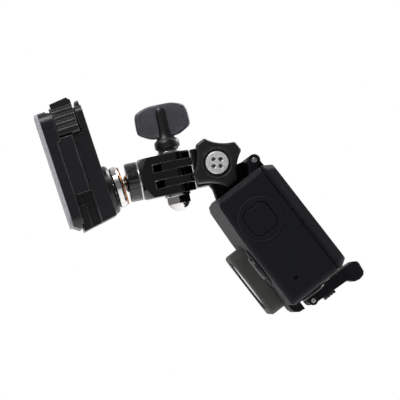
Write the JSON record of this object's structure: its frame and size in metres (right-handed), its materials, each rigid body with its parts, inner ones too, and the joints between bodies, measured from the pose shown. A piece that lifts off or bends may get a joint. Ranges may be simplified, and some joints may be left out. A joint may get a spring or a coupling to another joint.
{
  "type": "action camera",
  "caption": "Action camera in a protective housing, hung from a quick-release buckle mount by a ball joint and a two-axis arm with thumb screws.",
  "frame": {"origin": "centre of the adhesive pad's outer face", "axes": "+X away from the surface that the pad sticks to, +Z the way the buckle slides out, -Y the star knob's side"},
  "size_m": [0.1001, 0.0667, 0.104],
  "materials": {
    "foam": "light grey closed-cell foam tape",
    "mount_plastic": "semi-gloss moulded black",
    "arm_plastic": "glossy moulded black",
    "chrome": "bright plating",
    "steel": "plain steel",
    "brass": "plain brass",
    "satin_grey": "satin anodised grey",
    "satin_silver": "satin silver",
    "knob_plastic": "satin black",
    "housing_plastic": "fine matt black",
    "port_plastic": "satin grey",
    "clear_glass": "clear coated glass",
    "seal_rubber": "soft grey silicone",
    "camera_shell": "soft-touch grey",
    "camera_black": "gloss black",
    "circuit": "green solder mask",
    "battery_wrap": "dark wrap",
    "screen_glass": "black display glass"
  },
  "bodies": {
    "base": {"adhesive_pad": "foam", "base_plate": "mount_plastic"},
    "buckle": {"buckle_body": "mount_plastic"},
    "prong_left": {"release_prong_left": "mount_plastic"},
    "prong_right": {"release_prong_right": "mount_plastic"},
    "swivel": {"ball_stud": "chrome", "stud_nut": "steel", "swivel_ring": "chrome", "friction_washer": "brass"},
    "collar": {"lock_collar": "arm_plastic"},
    "arm": {"arm": "arm_plastic", "clamp_washer": "steel", "pan_nut": "chrome"},
    "pan_washer": {"pan_washer": "steel"},
    "pan_screw": {"pan_bolt": "steel", "pan_knob": "satin_grey"},
    "link": {"link": "arm_plastic", "tilt_nut": "steel"},
    "tilt_washer": {"tilt_washer": "steel"},
    "tilt_screw": {"tilt_bolt": "steel", "tilt_knob": "knob_plastic", "tilt_cap": "satin_silver"},
    "housing": {"housing_shell": "housing_plastic", "hinge_pin": "steel", "latch_pin": "steel", "lens_port": "port_plastic", "lens_port_glass": "clear_glass", "lens_port_seal": "seal_rubber", "lens_port_screws": "steel", "shutter_spring": "steel", "mode_spring": "steel", "side_spring": "steel", "camera_front_shell": "camera_shell", "camera_rear_shell": "camera_shell", "camera_screws": "steel", "lens_barrel": "camera_black", "lens_glass": "clear_glass", "lens_elements": "clear_glass", "image_sensor_board": "circuit", "main_board": "circuit", "battery": "battery_wrap", "battery_door": "camera_black", "memory_card": "camera_black", "rear_screen": "screen_glass", "front_display": "screen_glass", "sounder": "camera_black"},
    "rear_door": {"rear_door": "housing_plastic", "door_seal": "seal_rubber"},
    "latch": {"latch_lever": "housing_plastic"},
    "latch_lock": {"latch_lock": "knob_plastic"},
    "shutter_plunger": {"shutter_plunger": "knob_plastic"},
    "camera_shutter_button": {"camera_shutter_button": "camera_black"},
    "mode_plunger": {"mode_plunger": "knob_plastic"},
    "camera_mode_button": {"camera_mode_button": "camera_black"},
    "side_plunger": {"side_plunger": "housing_plastic"},
    "camera_side_button": {"camera_side_button": "camera_black"}
  },
  "joints": [
    {"name": "buckle_slide", "type": "slide", "parent": "base", "child": "buckle", "axis": [0, 0, 1], "range_m": [0, 0.048]},
    {"name": "left_prong_squeeze", "type": "hinge", "parent": "buckle", "child": "prong_left", "pos_m": [0.0062, 0.01, -0.015], "axis": [1, 0, 0], "range_deg": [0, 5.5], "stiffness_Nm_per_rad": 0.6},
    {"name": "right_prong_squeeze", "type": "hinge", "parent": "buckle", "child": "prong_right", "pos_m": [0.0062, -0.01, -0.015], "axis": [-1, 0, 0], "range_deg": [0, 5.5], "stiffness_Nm_per_rad": 0.6},
    {"name": "swivel_spin", "type": "hinge", "parent": "buckle", "child": "swivel", "pos_m": [0.022, 0, -0.0127], "axis": [1, 0, 0], "continuous": true},
    {"name": "ball_tilt", "type": "hinge", "parent": "swivel", "child": "collar", "pos_m": [0.0287, 0, -0.0127], "axis": [0, 1, 0], "range_deg": [-18, 6]},
    {"name": "arm_roll", "type": "hinge", "parent": "collar", "child": "arm", "pos_m": [0.0287, 0, -0.0127], "axis": [0.9942, 0, -0.108], "continuous": true},
    {"name": "pan_washer_rise", "type": "slide", "parent": "arm", "child": "pan_washer", "axis": [0.108, 0, 0.9942], "range_m": [0, 0.0032]},
    {"name": "pan_screw_turn", "type": "hinge", "parent": "pan_washer", "child": "pan_screw", "pos_m": [0.04351, 0, -0.01431], "axis": [0.108, 0, 0.9942], "range_deg": [0, 1440]},
    {"name": "link_pan", "type": "hinge", "parent": "arm", "child": "link", "pos_m": [0.04351, 0, -0.01431], "axis": [0.108, 0, 0.9942], "range_deg": [-45, 75]},
    {"name": "tilt_washer_rise", "type": "slide", "parent": "link", "child": "tilt_washer", "axis": [0, -1, 0], "range_m": [0, 0.0032]},
    {"name": "tilt_screw_turn", "type": "hinge", "parent": "tilt_washer", "child": "tilt_screw", "pos_m": [0.05942, 0, -0.01604], "axis": [0, -1, 0], "range_deg": [0, 1440]},
    {"name": "housing_tilt", "type": "hinge", "parent": "link", "child": "housing", "pos_m": [0.05942, 0, -0.01604], "axis": [0, 1, 0], "range_deg": [-90, 6]},
    {"name": "door_swing", "type": "hinge", "parent": "housing", "child": "rear_door", "pos_m": [0.07286, 0, -0.01955], "axis": [0, -1, 0], "range_deg": [0, 110]},
    {"name": "latch_lift", "type": "hinge", "parent": "housing", "child": "latch", "pos_m": [0.0781, 0, -0.07657], "axis": [0, 1, 0], "range_deg": [0, 95]},
    {"name": "latch_lock_slide", "type": "slide", "parent": "latch", "child": "latch_lock", "axis": [0.9426, 0, 0.3338], "range_m": [0, 0.0025]},
    {"name": "shutter_press", "type": "slide", "parent": "housing", "child": "shutter_plunger", "axis": [-0.3338, 0, 0.9426], "range_m": [0, 0.001], "stiffness_N_per_m": 400, "deforming": ["shutter_spring"]},
    {"name": "camera_shutter_press", "type": "slide", "parent": "housing", "child": "camera_shutter_button", "axis": [-0.3338, 0, 0.9426], "range_m": [0, 0.0008], "stiffness_N_per_m": 100},
    {"name": "mode_press", "type": "slide", "parent": "housing", "child": "mode_plunger", "axis": [0.9426, 0, 0.3338], "range_m": [0, 0.001], "stiffness_N_per_m": 400, "deforming": ["mode_spring"]},
    {"name": "camera_mode_press", "type": "slide", "parent": "housing", "child": "camera_mode_button", "axis": [0.9426, 0, 0.3338], "range_m": [0, 0.0008], "stiffness_N_per_m": 100},
    {"name": "side_press", "type": "slide", "parent": "housing", "child": "side_plunger", "axis": [0, 1, 0], "range_m": [0, 0.001], "stiffness_N_per_m": 400, "deforming": ["side_spring"]},
    {"name": "camera_side_press", "type": "slide", "parent": "housing", "child": "camera_side_button", "axis": [0, 1, 0], "range_m": [0, 0.0008], "stiffness_N_per_m": 100}
  ],
  "couplings": [
    {"joint": "pan_screw_turn", "follows": "pan_washer_rise", "rad_per_m": 7854},
    {"joint": "tilt_screw_turn", "follows": "tilt_washer_rise", "rad_per_m": 7854},
    {"joint": "camera_shutter_press", "follows": "shutter_press", "ratio": 0.8},
    {"joint": "camera_mode_press", "follows": "mode_press", "ratio": 0.8},
    {"joint": "camera_side_press", "follows": "side_press", "ratio": 0.8}
  ]
}
